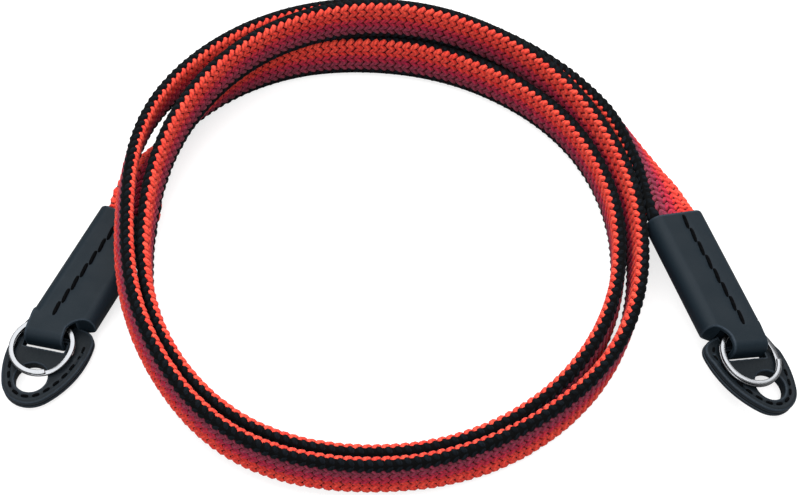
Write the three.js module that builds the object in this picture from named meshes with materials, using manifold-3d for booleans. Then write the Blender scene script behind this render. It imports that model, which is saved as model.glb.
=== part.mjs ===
// A coiled camera strap: a flat knitted rope, about two and a half turns standing on its edge,
// with a leather sleeve, a split ring and a leather flap at each end.
// Millimetres and degrees, +Z up. The strap lies on the plane z = 0.
import * as THREE from 'three';
import { mergeVertices } from 'three/addons/utils/BufferGeometryUtils.js';
import Module from 'manifold-3d';

const wasm = await Module();
wasm.setup();

// Clearance that neighbouring pieces keep.
const GAP = 0.3;

// The rope is a flat knitted tube with round edges.
const ROPE = { width: 11.4, thickness: 2.6, edgeSides: 5, steps: 156, inSleeve: 24, straightOut: 2 };

// The coil's middle, seen from above. Every other place is measured from it.
const COIL = { x: -3.943, y: -1.952, step: 10 };

// The coil runs clockwise seen from above, and turn 0 is its left side.
// radius: to the middle of the rope. lift: of the lower edge above the ground.
// lean: of the upper edge towards the coil's middle.
const TURNS = [
  { turn: 30, radius: 54.6, lift: 0, lean: 34 },
  { turn: 60, radius: 54.0, lift: 0, lean: 3 },
  { turn: 90, radius: 51.0, lift: 0, lean: -4 },
  { turn: 120, radius: 50.0, lift: 0, lean: -1 },
  { turn: 150, radius: 51.1, lift: 0, lean: 1 },
  { turn: 180, radius: 51.9, lift: 0, lean: 3 },
  { turn: 210, radius: 52.9, lift: 0, lean: 3 },
  { turn: 240, radius: 53.5, lift: 0.2, lean: 3 },
  { turn: 270, radius: 53.8, lift: 0.5, lean: 3 },
  { turn: 300, radius: 54.8, lift: 1.0, lean: 5 },
  { turn: 330, radius: 53.1, lift: 2.6, lean: 6 },
  { turn: 360, radius: 50.2, lift: 6.6, lean: 1 },
  { turn: 390, radius: 50.4, lift: 10.4, lean: 0 },
  { turn: 420, radius: 51.6, lift: 12.1, lean: 1 },
  { turn: 450, radius: 52.5, lift: 11.6, lean: 0 },
  { turn: 480, radius: 55.5, lift: 5.8, lean: -2 },
  { turn: 510, radius: 55.4, lift: 2.4, lean: -7 },
  { turn: 540, radius: 56.0, lift: 0.4, lean: -7 },
  { turn: 570, radius: 57.2, lift: 0, lean: -2 },
  { turn: 600, radius: 56.8, lift: 0.6, lean: 8 },
  { turn: 630, radius: 57.1, lift: 1.6, lean: 4 },
  { turn: 660, radius: 58.6, lift: 3, lean: 7 },
  { turn: 690, radius: 56.2, lift: 5.4, lean: 11 },
  { turn: 720, radius: 55.1, lift: 7.6, lean: 17 },
  { turn: 750, radius: 59.0, lift: 6.8, lean: 13 },
  { turn: 780, radius: 60.5, lift: 4.5, lean: 4 },
  { turn: 810, radius: 61.3, lift: 1.6, lean: 1 },
  { turn: 840, radius: 60.1, lift: 0.2, lean: 2 },
  { turn: 870, radius: 62.1, lift: 0.1, lean: 24 },
];

// Between the coil and each sleeve the rope twists flat. Points along the middle of the rope, from
// the coil's middle: x, y, z and the lean of the upper edge.
const LEFT_TAIL = [
  { x: -54.6, y: 14, z: 2.9, lean: 74 },
  { x: -52.2, y: 20.4, z: 3.95, lean: 56 },
];
const RIGHT_TAIL = [
  { x: 59.8, y: 18.7, z: 5.2, lean: 42 },
  { x: 62.3, y: 11.6, z: 5.8, lean: 61 },
];

// Each end lies along its heading, rolled so that its inner side is raised and pitched so that its mouth
// is. The mouth is the middle of the sleeve's open end, from the coil's middle. inner: the sense across
// the end that faces the coil. The tab and the flap lie turned a little from the sleeve, and the flap
// outwards by its shift. ringSeam: where the ring's wire begins, round from the end's own direction.
const ENDS = [
  {
    side: 'left', x: -55.7, y: 6.4, heading: -114, roll: 2, pitch: -1,
    inner: 1, tabTurn: 11, flapTurn: 1, flapShift: 0, ringSeam: 83,
  },
  {
    side: 'right', x: 63.3, y: 3.6, heading: -70, roll: -18, pitch: 2,
    inner: -1, tabTurn: 5, flapTurn: 15, flapShift: 0.9, ringSeam: 137,
  },
];

// Leather sleeve. Lengths run along the end from the sleeve's mouth.
// The inner shoulder has a round notch and the outer one a slanted corner. The tab between them lies nearer
// to the outer side, and is turned with the notch about the middle of its end.
const SLEEVE = {
  width: 14.2, thickness: 5.8, edge: 2.6, edgeSides: 5,
  shoulder: 33, notchRadius: 3.9, notchAlong: 33.2, notchAcross: 8, cornerStart: 30, cornerDepth: 2.2,
  tabWidth: 8.6, tabShift: 1.25, tabPivot: 35, tabEnd: 35.5,
  slotStart: 28, slotInner: 5.5, slotFloor: 0.85, slotRoof: 4.85, tabWall: 1.1, foldCorner: 2.2,
};

// Leather flap: an upper layer that reaches into the sleeve's loop, doubled below beyond the loop.
const FLAP = {
  start: 28.6, halfWidth: 8.25, shoulderRadius: 3.2, sideRadius: 20, tip: 49.4, tipRadius: 6.3,
  top: 2.5, marginTop: 2.05, lowerLayer: 1.05,
  holeMiddle: 43.2, holeLength: 6.9, holeWidth: 7.0,
  earStart: 30.8, barStart: 32.5, slitStart: 33.55, slitEnd: 36.2, turnsAt: 34, sides: 10,
};

// Split ring: two turns of flat wire.
const RING = {
  meanRadius: 6.5, wireWidth: 0.95, wireHeight: 0.6, pitch: 0.7, turns: 1.84, stepsPerTurn: 32,
  middle: 36.2, height: 3.4,
};

const LEATHER = { color: 0x23272e, roughness: 0.55, metalness: 0 };
const FLAP_LEATHER = { color: 0x1d2024, roughness: 0.6, metalness: 0 };
const STEEL = { color: 0xd9dcdf, roughness: 0.16, metalness: 1 };
const KNIT = { color: 0xc22a22, roughness: 0.9, metalness: 0 };

const radians = THREE.MathUtils.degToRad;

// A closed mesh as a solid that can be joined and cut.
function solid(geometry) {
  const bare = geometry.clone();
  bare.deleteAttribute('normal');
  bare.deleteAttribute('uv');
  const merged = mergeVertices(bare, 1e-5);
  return new wasm.Manifold(new wasm.Mesh({
    numProp: 3,
    vertProperties: Float32Array.from(merged.attributes.position.array),
    triVerts: Uint32Array.from(merged.index.array),
  }));
}

// A solid back as a geometry.
function geometryOf(body) {
  const mesh = body.getMesh();
  const geometry = new THREE.BufferGeometry();
  geometry.setAttribute('position', new THREE.BufferAttribute(mesh.vertProperties, 3));
  geometry.setIndex(new THREE.BufferAttribute(mesh.triVerts, 1));
  geometry.computeVertexNormals();
  return geometry;
}

function named(name, geometry, look) {
  const mesh = new THREE.Mesh(geometry, new THREE.MeshStandardMaterial(look));
  mesh.name = name;
  return mesh;
}

// A rounded rectangle about the origin.
function roundedRectangle(width, height, radius) {
  const x = width / 2 - radius;
  const y = height / 2 - radius;
  const shape = new THREE.Shape();
  shape.absarc(x, y, radius, 0, Math.PI / 2);
  shape.absarc(-x, y, radius, Math.PI / 2, Math.PI);
  shape.absarc(-x, -y, radius, Math.PI, Math.PI * 1.5);
  shape.absarc(x, -y, radius, Math.PI * 1.5, Math.PI * 2);
  shape.closePath();
  return shape;
}

function rectangle(x0, y0, x1, y1) {
  const shape = new THREE.Shape();
  shape.moveTo(x0, y0);
  shape.lineTo(x1, y0);
  shape.lineTo(x1, y1);
  shape.lineTo(x0, y1);
  shape.closePath();
  return shape;
}

// A section in the across and up directions, carried along the end.
function alongEnd(shape, from, to, sides) {
  const options = { depth: to - from, bevelEnabled: false, curveSegments: sides };
  const geometry = new THREE.ExtrudeGeometry(shape, options);
  geometry.translate(0, 0, from);
  const turn = new THREE.Matrix4().makeBasis(
    new THREE.Vector3(0, 1, 0), new THREE.Vector3(0, 0, 1), new THREE.Vector3(1, 0, 0));
  return geometry.applyMatrix4(turn);
}

// A side view in the along and up directions, carried across the end from one place to another.
function acrossEnd(shape, from, to, sides) {
  const options = { depth: to - from, bevelEnabled: false, curveSegments: sides };
  const geometry = new THREE.ExtrudeGeometry(shape, options);
  geometry.translate(0, 0, -to);
  return geometry.rotateX(Math.PI / 2);
}

// A plan in the along and across directions, carried upwards.
function upwards(shape, from, to, sides) {
  const options = { depth: to - from, bevelEnabled: false, curveSegments: sides };
  const geometry = new THREE.ExtrudeGeometry(shape, options);
  return geometry.translate(0, 0, from);
}

// A column of the turns table at any turn, on a smooth curve through the rows.
function turnValue(column, turn) {
  const last = TURNS.length - 1;
  let row = TURNS.findLastIndex((entry) => entry.turn <= turn);
  row = Math.min(Math.max(row, 0), last - 1);
  const share = (turn - TURNS[row].turn) / (TURNS[row + 1].turn - TURNS[row].turn);
  const at = (index) => TURNS[Math.min(Math.max(index, 0), last)][column];
  const slopeIn = (at(row + 1) - at(row - 1)) / 2;
  const slopeOut = (at(row + 2) - at(row)) / 2;
  const rise = at(row + 1) - at(row);
  const square = 3 * rise - 2 * slopeIn - slopeOut;
  const cube = slopeIn + slopeOut - 2 * rise;
  return at(row) + share * (slopeIn + share * (square + share * cube));
}

// Half of the rope's flat width, between the middles of its round edges.
const FLAT_HALF = (ROPE.width - ROPE.thickness) / 2;

// A point on the rope's middle inside a sleeve, a distance along from the mouth.
function inSleeve(end, along) {
  const point = new THREE.Vector3(along, 0, SLEEVE.thickness / 2).applyMatrix4(end.fitting.matrixWorld);
  return { x: point.x, y: point.y, z: point.z, lean: 90 - Math.abs(end.roll) };
}

// The rope's route from inside the left sleeve, round the coil, to inside the right sleeve.
function routeStations() {
  const [left, right] = ENDS;
  const depths = [ROPE.inSleeve, ROPE.inSleeve / 2, 1, -ROPE.straightOut];
  const fromCoil = (point) => ({ ...point, x: COIL.x + point.x, y: COIL.y + point.y });
  const stations = depths.map((along) => inSleeve(left, along));
  stations.push(...LEFT_TAIL.map(fromCoil));
  const first = TURNS[0].turn;
  const last = TURNS[TURNS.length - 1].turn;
  for (let turn = first; turn <= last; turn += COIL.step) {
    const angle = radians(180 - turn);
    const radius = turnValue('radius', turn);
    const lean = turnValue('lean', turn);
    const standing = FLAT_HALF * Math.cos(radians(lean)) + ROPE.thickness / 2;
    stations.push({
      x: COIL.x + radius * Math.cos(angle),
      y: COIL.y + radius * Math.sin(angle),
      z: Math.max(turnValue('lift', turn), 0.02) + standing,
      lean,
    });
  }
  stations.push(...RIGHT_TAIL.map(fromCoil));
  stations.push(...depths.reverse().map((along) => inSleeve(right, along)));
  return stations;
}

// A smooth curve through the stations whose frames follow the rope's lean: the normal points to the
// rope's upper edge, and the binormal through its thickness.
class RopePath extends THREE.CatmullRomCurve3 {
  constructor(stations) {
    super(stations.map((station) => new THREE.Vector3(station.x, station.y, station.z)));
    const leans = stations.map((station, index) => new THREE.Vector2(index, station.lean));
    this.leans = new THREE.SplineCurve(leans);
    this.arcLengthDivisions = 2000;
  }

  computeFrenetFrames(segments) {
    const tangents = [];
    const normals = [];
    const binormals = [];
    for (let i = 0; i <= segments; i += 1) {
      const t = this.getUtoTmapping(i / segments);
      const tangent = this.getTangent(t);
      const outward = new THREE.Vector3(-tangent.y, tangent.x, 0).normalize();
      const upward = new THREE.Vector3().crossVectors(tangent, outward);
      const lean = radians(this.leans.getPoint(t).y);
      const edge = upward.multiplyScalar(Math.cos(lean)).addScaledVector(outward, -Math.sin(lean));
      tangents.push(tangent);
      normals.push(edge);
      binormals.push(new THREE.Vector3().crossVectors(tangent, edge));
    }
    return { tangents, normals, binormals };
  }
}

function ropeGeometry() {
  const section = new THREE.Shape();
  const radius = ROPE.thickness / 2;
  section.absarc(FLAT_HALF, 0, radius, -Math.PI / 2, Math.PI / 2);
  section.absarc(-FLAT_HALF, 0, radius, Math.PI / 2, Math.PI * 1.5);
  section.closePath();
  return new THREE.ExtrudeGeometry(section, {
    steps: ROPE.steps,
    curveSegments: ROPE.edgeSides,
    extrudePath: new RopePath(routeStations()),
  });
}

// A fold seen from the side: a band that runs to a flat end with round corners.
function foldShape(start, end, bottom, top, corner) {
  const shape = new THREE.Shape();
  shape.absarc(end - corner, bottom + corner, corner, -Math.PI / 2, 0);
  shape.absarc(end - corner, top - corner, corner, 0, Math.PI / 2);
  shape.lineTo(start, top);
  shape.lineTo(start, bottom);
  shape.closePath();
  return shape;
}

// From the tab's own place to its place on the sleeve: nearer to the outer side, turned to the inner one.
function onTab(geometry, end) {
  return geometry.translate(-SLEEVE.tabPivot, 0, 0).rotateZ(radians(end.inner * end.tabTurn))
    .translate(SLEEVE.tabPivot, -end.inner * SLEEVE.tabShift, 0);
}

// Sleeve: a leather tube round the rope's end, cut in at its shoulders to a tab that folds back as a loop.
// The loop's slot is open to the outer side and to the notch.
function sleeveGeometry(end) {
  const { width, thickness, edgeSides, shoulder, notchRadius, cornerStart, cornerDepth } = SLEEVE;
  const section = roundedRectangle(width, thickness, SLEEVE.edge);
  const tube = alongEnd(section, 0, shoulder, edgeSides).translate(0, 0, thickness / 2);
  const pocketHeight = ROPE.thickness + 2 * GAP;
  const pocketSection = roundedRectangle(ROPE.width + 2 * GAP, pocketHeight, pocketHeight / 2 - 0.01);
  const pocket = alongEnd(pocketSection, -1, ROPE.inSleeve + GAP, edgeSides).translate(0, 0, thickness / 2);
  const notch = new THREE.CylinderGeometry(notchRadius, notchRadius, 3 * thickness, 6 * edgeSides)
    .rotateX(Math.PI / 2).translate(SLEEVE.notchAlong, end.inner * SLEEVE.notchAcross, 0);
  const corner = new THREE.Shape();
  corner.moveTo(cornerStart, -end.inner * width / 2);
  corner.lineTo(cornerStart, -end.inner * width);
  corner.lineTo(shoulder + 1, -end.inner * width);
  corner.lineTo(shoulder + 1, -end.inner * (width / 2 - cornerDepth));
  corner.closePath();
  const { slotStart, slotInner, slotFloor, slotRoof, tabEnd, tabWall, foldCorner } = SLEEVE;
  const tabSide = foldShape(slotStart - 1, tabEnd, 0, thickness, foldCorner);
  const slotSide = foldShape(slotStart, tabEnd - tabWall, slotFloor, slotRoof, foldCorner - tabWall);
  const tab = acrossEnd(tabSide, -SLEEVE.tabWidth / 2, SLEEVE.tabWidth / 2, edgeSides);
  const slot = end.inner > 0
    ? acrossEnd(slotSide, -2 * width, slotInner, edgeSides)
    : acrossEnd(slotSide, -slotInner, 2 * width, edgeSides);
  return geometryOf(solid(tube)
    .subtract(solid(onTab(notch, end)))
    .subtract(solid(upwards(corner, -1, 2 * thickness)))
    .add(solid(onTab(tab, end)))
    .subtract(solid(onTab(slot, end)))
    .subtract(solid(pocket)));
}

// Flap plan: round shoulders at the sleeve, bulging sides that draw in, and a round tip. Each side is an
// arc that meets the shoulder and the tip without a corner.
function flapPlan() {
  const { start, halfWidth, shoulderRadius, sideRadius, tip, tipRadius } = FLAP;
  const shoulder = new THREE.Vector2(start + shoulderRadius, halfWidth - shoulderRadius);
  const tipMiddle = new THREE.Vector2(tip - tipRadius, 0);
  const line = tipMiddle.clone().sub(shoulder);
  const toShoulder = sideRadius - shoulderRadius;
  const toTip = sideRadius - tipRadius;
  const apart = line.length();
  const along = (toShoulder ** 2 - toTip ** 2 + apart ** 2) / (2 * apart);
  const below = Math.sqrt(toShoulder ** 2 - along ** 2);
  line.normalize();
  const middle = new THREE.Vector2(line.y, -line.x).multiplyScalar(below)
    .addScaledVector(line, along).add(shoulder);
  const leaves = shoulder.clone().sub(middle).angle();
  const meets = tipMiddle.clone().sub(middle).angle();
  const round = Math.PI * 2;
  const shape = new THREE.Shape();
  shape.absarc(tipMiddle.x, 0, tipRadius, -meets, meets);
  shape.absarc(middle.x, middle.y, sideRadius, meets, leaves);
  shape.absarc(shoulder.x, shoulder.y, shoulderRadius, leaves, Math.PI);
  shape.absarc(shoulder.x, -shoulder.y, shoulderRadius, Math.PI, round - leaves);
  shape.absarc(middle.x, -middle.y, sideRadius, round - leaves, round - meets);
  shape.closePath();
  return shape;
}

// The flap's slit and its cut-away lower layer follow the sleeve and its tab, however the flap lies turned.
// Behind the slit a bar of the flap lies in the loop, and the ring's wire behind the bar.
function flapGeometry(end) {
  const plan = flapPlan();
  const hole = new THREE.Path();
  hole.absellipse(FLAP.holeMiddle, 0, FLAP.holeLength / 2, FLAP.holeWidth / 2, 0, Math.PI * 2);
  plan.holes.push(hole);
  const { slitStart, slitEnd, barStart, earStart, lowerLayer, top, turnsAt } = FLAP;
  const wide = SLEEVE.width;
  const inTab = SLEEVE.tabWidth / 2 + GAP;
  const slit = rectangle(slitStart, -inTab, slitEnd, inTab);
  const behindBar = rectangle(0, -inTab, barStart, inTab);
  const wall = SLEEVE.slotInner - GAP;
  const behindEar = end.inner > 0 ? rectangle(0, wall, earStart, wide) : rectangle(0, -wide, earStart, -wall);
  const belowTab = rectangle(0, -inTab, slitEnd, inTab);
  const belowSleeve = rectangle(0, -wide, SLEEVE.shoulder + GAP, wide);
  const inSlot = rectangle(0, -wide, SLEEVE.slotStart + 4 * GAP, wide);
  const aboveMargin = rectangle(0, -wide, slitStart, wide);
  const cuts = [
    onTab(upwards(slit, -1, top + 1), end),
    onTab(upwards(behindBar, -1, top + 1), end),
    onTab(upwards(behindEar, -1, top + 1), end),
    onTab(upwards(belowTab, -1, lowerLayer), end),
    upwards(belowSleeve, -1, lowerLayer),
    onTab(upwards(inSlot, -1, top + 1), end),
    upwards(aboveMargin, FLAP.marginTop, top + 1),
  ];
  const leather = upwards(plan, 0, top, FLAP.sides);
  leather.translate(-turnsAt, 0, 0).rotateZ(radians(end.flapTurn))
    .translate(turnsAt, -end.inner * end.flapShift, 0);
  let flap = solid(leather);
  for (const cut of cuts) {
    flap = flap.subtract(solid(cut));
  }
  return geometryOf(flap);
}

// The split ring's wire: a lower turn, a step up where the wire's two ends stand apart, an upper turn.
class RingPath extends THREE.Curve {
  constructor(seam) {
    super();
    this.seam = radians(seam);
  }

  angle(t) {
    return this.seam + t * RING.turns * Math.PI * 2;
  }

  getPoint(t, target = new THREE.Vector3()) {
    const angle = this.angle(t);
    const step = THREE.MathUtils.smoothstep(t * RING.turns, RING.turns - 1, 1);
    const height = (step - 0.5) * RING.pitch;
    return target.set(RING.meanRadius * Math.cos(angle), RING.meanRadius * Math.sin(angle), height);
  }

  computeFrenetFrames(segments) {
    const tangents = [];
    const normals = [];
    const binormals = [];
    for (let i = 0; i <= segments; i += 1) {
      const angle = this.angle(this.getUtoTmapping(i / segments));
      tangents.push(new THREE.Vector3(-Math.sin(angle), Math.cos(angle), 0));
      normals.push(new THREE.Vector3(0, 0, 1));
      binormals.push(new THREE.Vector3(Math.cos(angle), Math.sin(angle), 0));
    }
    return { tangents, normals, binormals };
  }
}

function ringGeometry(end) {
  const wire = rectangle(-RING.wireHeight / 2, -RING.wireWidth / 2, RING.wireHeight / 2, RING.wireWidth / 2);
  const steps = Math.round(RING.turns * RING.stepsPerTurn);
  return new THREE.ExtrudeGeometry(wire, { steps, extrudePath: new RingPath(end.ringSeam) });
}

// Sleeve, flap and ring of one end, laid so that the lowest point meets the ground.
function buildEnd(end) {
  const fitting = new THREE.Group();
  fitting.position.set(COIL.x + end.x, COIL.y + end.y, 0);
  fitting.rotation.set(radians(end.roll), radians(end.pitch), radians(end.heading), 'ZYX');
  const ring = onTab(ringGeometry(end).translate(RING.middle, 0, RING.height), end);
  fitting.add(named(`sleeve_${end.side}`, sleeveGeometry(end), LEATHER));
  fitting.add(named(`flap_${end.side}`, flapGeometry(end), FLAP_LEATHER));
  fitting.add(named(`ring_${end.side}`, ring, STEEL));
  fitting.position.z = -new THREE.Box3().setFromObject(fitting, true).min.z;
  fitting.updateMatrixWorld(true);
  return fitting;
}

const strap = new THREE.Group();
for (const end of ENDS) {
  end.fitting = buildEnd(end);
  strap.add(end.fitting);
}
strap.add(named('rope', ropeGeometry(), KNIT));

export default strap;
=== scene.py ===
# %% [markdown]
# # A coiled rope camera strap
# A flat knitted rope lies in about two and a half turns on its edge. Each end goes into a leather sleeve,
# whose tab folds round a split ring and a leather flap. The solid model gives every place and size. This
# lesson dresses it: knitted yarn, stitched leather and bright wire, each as a surface worked out in numpy.

# %% Load the solid model
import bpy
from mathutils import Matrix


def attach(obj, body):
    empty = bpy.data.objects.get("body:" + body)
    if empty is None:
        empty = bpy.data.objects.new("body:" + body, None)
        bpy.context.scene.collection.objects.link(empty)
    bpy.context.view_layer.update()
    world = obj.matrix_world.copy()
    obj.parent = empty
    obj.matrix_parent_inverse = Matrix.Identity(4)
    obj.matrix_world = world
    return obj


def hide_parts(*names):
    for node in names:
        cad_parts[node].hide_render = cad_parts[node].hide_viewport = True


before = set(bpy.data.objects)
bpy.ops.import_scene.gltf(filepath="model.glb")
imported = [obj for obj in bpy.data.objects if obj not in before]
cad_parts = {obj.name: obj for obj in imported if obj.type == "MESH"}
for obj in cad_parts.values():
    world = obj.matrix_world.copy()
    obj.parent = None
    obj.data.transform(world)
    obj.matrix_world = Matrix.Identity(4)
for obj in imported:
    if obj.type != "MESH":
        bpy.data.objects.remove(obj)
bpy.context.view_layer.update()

import math

import bpy
import numpy as np
from mathutils import Matrix, Vector

MM = 0.001  # lengths below are in millimetres, and meshes are in metres

# %% [markdown]
# ## The camera
# The strap is seen from in front and above, as on a table. A long lens keeps the near and far turns of the
# coil nearly the same width. The camera is placed by what it looks at, its height angle and its distance,
# because those three can be changed one at a time while the picture is compared.

# %% Camera
LOOK_AT = Vector((0.057, -3.952, 5.0)) * MM
CAMERA = {"elevation": 58.0, "distance": 368.8 * MM, "lens": 76.13, "sensor": 36.0, "near": 0.01, "far": 20.0}

camera_data = bpy.data.cameras.new("camera")
camera_data.sensor_width = CAMERA["sensor"]
camera_data.lens = CAMERA["lens"]
camera_data.clip_start, camera_data.clip_end = CAMERA["near"], CAMERA["far"]
camera = bpy.data.objects.new("camera", camera_data)
bpy.context.scene.collection.objects.link(camera)
tilt = math.radians(CAMERA["elevation"])
camera.location = LOOK_AT + CAMERA["distance"] * Vector((0, -math.cos(tilt), math.sin(tilt)))
camera.rotation_euler = (math.pi / 2 - tilt, 0, 0)
bpy.context.scene.camera = camera
print("camera stands", round(CAMERA["distance"] / MM), "mm from the coil")

# %% [markdown]
# ## Putting arrays into a mesh
# Every piece below ends as an array of points and arrays of faces. One helper writes them with foreach_set,
# which copies whole arrays and stays fast for a hundred thousand faces.


# %% Mesh helpers
def make_piece(name, points, quads=None, tris=None, material=None):
    """An object at the origin from points (n, 3) in millimetres and rows of corner numbers."""
    quads = np.zeros((0, 4), int) if quads is None else np.asarray(quads, int)
    tris = np.zeros((0, 3), int) if tris is None else np.asarray(tris, int)
    mesh = bpy.data.meshes.new(name)
    mesh.vertices.add(len(points))
    mesh.vertices.foreach_set("co", (np.asarray(points) * MM).astype(np.float32).ravel())
    corners = np.concatenate([quads.ravel(), tris.ravel()])
    mesh.loops.add(len(corners))
    mesh.loops.foreach_set("vertex_index", corners.astype(np.int32))
    starts = np.concatenate([np.arange(len(quads)) * 4, 4 * len(quads) + np.arange(len(tris)) * 3])
    mesh.polygons.add(len(starts))
    mesh.polygons.foreach_set("loop_start", starts.astype(np.int32))
    mesh.update(calc_edges=True)
    mesh.shade_smooth()
    if material is not None:
        mesh.materials.append(material)
    piece = bpy.data.objects.new(name, mesh)
    bpy.context.scene.collection.objects.link(piece)
    print(f"{name}: {2 * len(quads) + len(tris)} triangles")
    return piece


def point_values(piece, name, values):
    """A number for each point of a piece, for its material to read."""
    attribute = piece.data.attributes.new(name, "FLOAT", "POINT")
    attribute.data.foreach_set("value", np.asarray(values, np.float32).ravel())


def corner_map(piece, u, v):
    """A UV map from two numbers for each point of a piece."""
    corner = np.zeros(len(piece.data.loops), np.int32)
    piece.data.loops.foreach_get("vertex_index", corner)
    layer = piece.data.uv_layers.new(name="along_and_round")
    layer.data.foreach_set("uv", np.stack([u[corner], v[corner]], 1).astype(np.float32).ravel())


def grid_quads(rows, columns):
    """Faces between neighbouring rows and columns of a grid of points whose last column joins its first."""
    i, j = np.meshgrid(np.arange(rows - 1), np.arange(columns), indexing="ij")
    k = (j + 1) % columns
    faces = [i * columns + j, i * columns + k, (i + 1) * columns + k, (i + 1) * columns + j]
    return np.stack(faces, -1).reshape(-1, 4)


def pole_tris(pole, first, columns):
    """Faces from a pole to each pair of neighbours in the closed ring of points that starts at first."""
    column = np.arange(columns)
    return np.stack([np.full(columns, pole), first + column, first + (column + 1) % columns], 1)


def cap_tris(first, columns):
    """Faces across a closed ring of points, from its first point to each further pair of neighbours."""
    column = np.arange(first + 1, first + columns - 1)
    return np.stack([np.full(columns - 2, first), column, column + 1], 1)


# %% [markdown]
# ## The places of the two ends
# Each sleeve, ring and flap is worked out in the end's own millimetres: along from the sleeve's mouth,
# across, and up from its underside. A matrix then lays the end beside the coil, turned to its heading and
# rolled, so both ends share the same formulas.

# %% Ends
COIL_MIDDLE = np.array([-3.943, -1.952])
# A mouth's place from the coil's middle, its turns in degrees, which way across points to the coil, the
# turns of tab and flap in the end's plan, the flap's shift outwards, the angle where the ring's wire starts
# and the place where the flap's slit ends.
ENDS = {
    "left": {"x": -55.7, "y": 6.4, "z": 0.157, "heading": -114, "roll": 2, "pitch": -1, "inner": 1,
             "tab_turn": 11, "flap_turn": 1, "flap_shift": 0.0, "ring_seam": 83, "slit_end": 36.25},
    "right": {"x": 63.3, "y": 3.6, "z": 4.558, "heading": -70, "roll": -18, "pitch": 2, "inner": -1,
              "tab_turn": 5, "flap_turn": 15, "flap_shift": 0.9, "ring_seam": 137, "slit_end": 36.1},
}


def end_matrix(end):
    """Turn about the run, then pitch, then heading, then the shift to the mouth."""
    turns = [(end["heading"], "Z"), (end["pitch"], "Y"), (end["roll"], "X")]
    matrix = Matrix.Translation((COIL_MIDDLE[0] + end["x"], COIL_MIDDLE[1] + end["y"], end["z"]))
    for degrees, axis in turns:
        matrix = matrix @ Matrix.Rotation(math.radians(degrees), 4, axis)
    return np.array(matrix)


def lay_end(side, points):
    """Points of an end, from its own millimetres to the strap's frame."""
    matrix = end_matrix(ENDS[side])
    return np.asarray(points) @ matrix[:3, :3].T + matrix[:3, 3]


for side in ENDS:
    print(side, "mouth at", lay_end(side, [[0, 0, 0]]).round(1)[0])

# %% [markdown]
# ## The rope's route
# The rope is one curve from inside the left sleeve, round the coil and into the right sleeve. A table gives
# the coil every 30 degrees: its radius, how far its lower edge is lifted, and how far its upper edge leans
# inwards. Smooth curves through the rows fill in what lies between. A drawn spline could do it too, but a
# table can be measured and corrected one row at a time.

# %% Route tables
TURNS = np.array([
    # turn, radius, lift, lean
    [30, 54.6, 0, 34], [60, 54.0, 0, 3], [90, 51.0, 0, -4], [120, 50.0, 0, -1], [150, 51.1, 0, 1],
    [180, 51.9, 0, 3], [210, 52.9, 0, 3], [240, 53.5, 0.2, 3], [270, 53.8, 0.5, 3], [300, 54.8, 1, 5],
    [330, 53.1, 2.6, 6], [360, 50.2, 6.6, 1], [390, 50.4, 10.4, 0], [420, 51.6, 12.1, 1],
    [450, 52.5, 11.6, 0], [480, 55.5, 5.8, -2], [510, 55.4, 2.4, -7], [540, 56.0, 0.4, -7],
    [570, 57.2, 0, -2], [600, 56.8, 0.6, 8], [630, 57.1, 1.6, 4], [660, 58.6, 3, 7], [690, 56.2, 5.4, 11],
    [720, 55.1, 7.6, 17], [750, 59.0, 6.8, 13], [780, 60.5, 4.5, 4], [810, 61.3, 1.6, 1],
    [840, 60.1, 0.2, 2], [870, 62.1, 0.1, 24],
])
# Points between the coil and each sleeve, from the coil's middle: x, y, z, lean.
LEFT_TAIL = np.array([[-54.6, 14, 2.9, 74], [-52.2, 20.4, 3.95, 56]])
RIGHT_TAIL = np.array([[59.8, 18.7, 5.2, 42], [62.3, 11.6, 5.8, 61]])
ROPE = {"width": 11.4, "thickness": 2.6, "in_sleeve": 24.0}
BONE = (ROPE["width"] - ROPE["thickness"]) / 2  # half of the flat between the round edges
SLEEVE_MIDDLE = 2.9  # the rope's height in a sleeve
SLEEVE_DEPTHS = np.array([ROPE["in_sleeve"], 12.0, 1.0, -2.0])  # stations in a sleeve, from its mouth
COIL_STEP = 10.0  # degrees between the coil's stations
LEAST_LIFT = 0.02  # keeps the lowest turns just clear of the table
SPAN_STEPS = 40  # points of the route from one station to the next


def smooth_rows(rows, where):
    """Cubic curve through evenly spaced rows: at each row its slope is half the step between neighbours."""
    last = len(rows) - 1
    i = np.clip(np.floor(where).astype(int), 0, last - 1)
    t = where - i
    t = t[:, None] if rows.ndim > 1 else t
    before, here, after, beyond = (rows[np.clip(i + k, 0, last)] for k in (-1, 0, 1, 2))
    slope_in, slope_out, rise = (after - before) / 2, (beyond - here) / 2, after - here
    square, cube = 3 * rise - 2 * slope_in - slope_out, slope_in + slope_out - 2 * rise
    return here + t * (slope_in + t * (square + t * cube))


def route_stations():
    """The stations of the route in order, each x, y, z and lean."""
    level = np.zeros(len(SLEEVE_DEPTHS))
    inside = np.stack([SLEEVE_DEPTHS, level, level + SLEEVE_MIDDLE], 1)
    first, step = TURNS[0, 0], TURNS[1, 0] - TURNS[0, 0]
    turn = np.arange(first, TURNS[-1, 0] + 1, COIL_STEP)
    radius, lift, lean = smooth_rows(TURNS[:, 1:], (turn - first) / step).T
    angle = np.radians(180 - turn)
    height = np.maximum(lift, LEAST_LIFT) + BONE * np.cos(np.radians(lean)) + ROPE["thickness"] / 2
    plan = COIL_MIDDLE + radius[:, None] * np.stack([np.cos(angle), np.sin(angle)], 1)
    coil = np.column_stack([plan, height, lean])
    shift = np.append(COIL_MIDDLE, [0, 0])
    ends = {side: np.column_stack([lay_end(side, inside), level + 90 - abs(end["roll"])])
            for side, end in ENDS.items()}
    return np.vstack([ends["left"], LEFT_TAIL + shift, coil, RIGHT_TAIL + shift, ends["right"][::-1]])


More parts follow.
